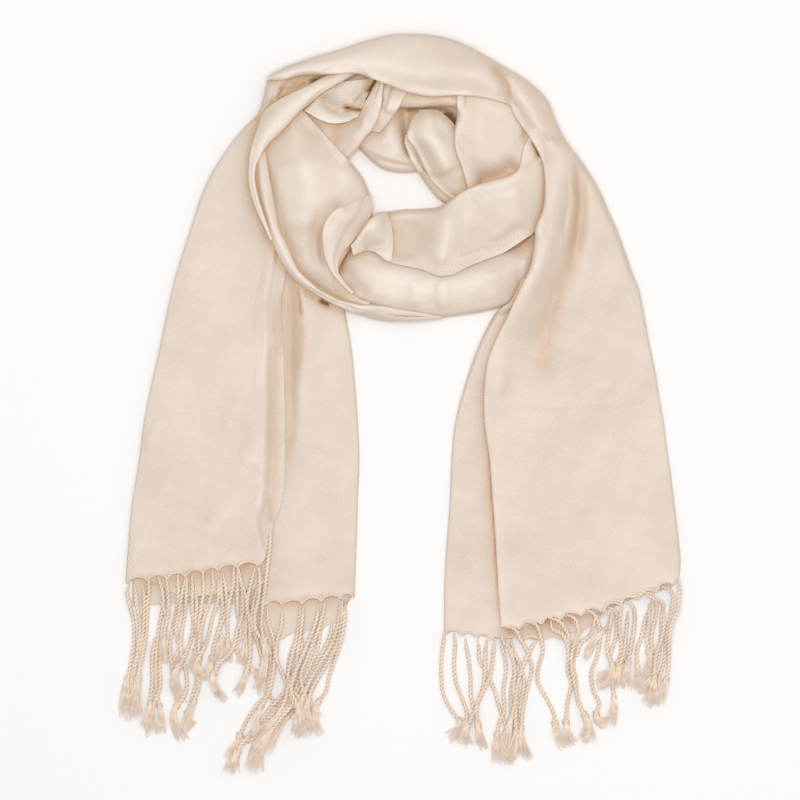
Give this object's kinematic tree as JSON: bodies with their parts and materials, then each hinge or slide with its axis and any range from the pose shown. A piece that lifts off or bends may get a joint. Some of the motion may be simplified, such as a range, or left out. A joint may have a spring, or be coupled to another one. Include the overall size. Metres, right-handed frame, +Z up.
{
  "type": "pashmina shawl",
  "caption": "Twill shawl wrapped once into an open neck loop and laid flat, its two folded tails ending in knotted, twisted fringe.",
  "frame": {"origin": "centre of the base of the bounding box, on the surface that the shawl lies on", "axes": "+Z up from the surface, +Y from the fringed tails towards the neck loop, +X across the shawl from its left tail to its right tail as seen from above"},
  "size_m": [0.4774, 0.6328, 0.0361],
  "materials": {
    "twill": "soft brushed twill with a low sheen",
    "fringe": "matt two-ply twisted cord with brushed ends"
  },
  "bodies": {
    "root": {"left_tail_back": "twill", "left_tail_front": "twill", "neck_back": "twill", "neck_rim": "twill", "neck_puff": "twill", "loop_right": "twill", "loop_front_lower": "twill", "loop_front_upper": "twill", "loop_left": "twill", "loop_tuck": "twill", "loop_twist": "twill", "loop_roll": "twill", "loop_curl": "twill", "neck_strip_left": "twill", "neck_strip_mid": "twill", "neck_edge": "twill", "corner_folds": "twill", "loop_edge": "twill", "top_band": "twill", "right_shoulder": "twill", "right_tail_side": "twill", "right_tail_front": "twill", "left_front_fringe": "fringe", "left_back_fringe": "fringe", "right_side_fringe": "fringe", "right_front_fringe": "fringe"}
  },
  "joints": []
}
